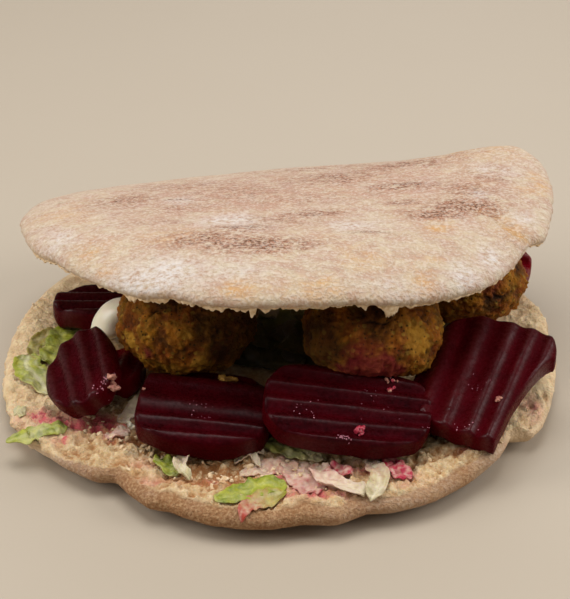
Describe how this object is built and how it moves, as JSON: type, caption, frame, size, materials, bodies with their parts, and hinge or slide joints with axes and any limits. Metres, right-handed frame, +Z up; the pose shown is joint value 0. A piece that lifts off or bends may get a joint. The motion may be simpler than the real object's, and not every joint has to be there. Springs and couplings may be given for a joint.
{
  "type": "falafel pita",
  "caption": "Round pocket bread slit open round the front and sides, laid over falafel balls, crinkle-cut beetroot slices, shredded lettuce and a dollop of garlic sauce.",
  "frame": {"origin": "on the resting plane, below the centre of the lower leaf of the bread", "axes": "+Z up from the resting plane; -Y towards the open front where the filling shows; +X to the right seen from the front"},
  "size_m": [0.1591, 0.1656, 0.056],
  "materials": {
    "pita_bread": "floury baked crust",
    "falafel_crust": "rough fried crust",
    "beetroot": "wet and glossy",
    "garlic_sauce": "smooth cream",
    "lettuce": "moist leaf"
  },
  "bodies": {
    "root": {"pita": "pita_bread", "falafel_left": "falafel_crust", "falafel_middle": "falafel_crust", "falafel_right": "falafel_crust", "beetroot_back_left": "beetroot", "beetroot_left": "beetroot", "beetroot_under_left": "beetroot", "beetroot_front_left": "beetroot", "beetroot_front_middle": "beetroot", "beetroot_front_right": "beetroot", "beetroot_back_right": "beetroot", "garlic_sauce": "garlic_sauce", "lettuce_bed": "lettuce", "lettuce_left_upper": "lettuce", "lettuce_left_lower": "lettuce", "lettuce_rim_left": "lettuce", "lettuce_gap_left": "lettuce", "lettuce_front_left": "lettuce", "lettuce_front_curl": "lettuce", "lettuce_front_small": "lettuce", "lettuce_rim_front": "lettuce", "lettuce_under_middle": "lettuce", "lettuce_front_pink": "lettuce", "lettuce_front_white": "lettuce", "lettuce_front_magenta": "lettuce"}
  },
  "joints": []
}
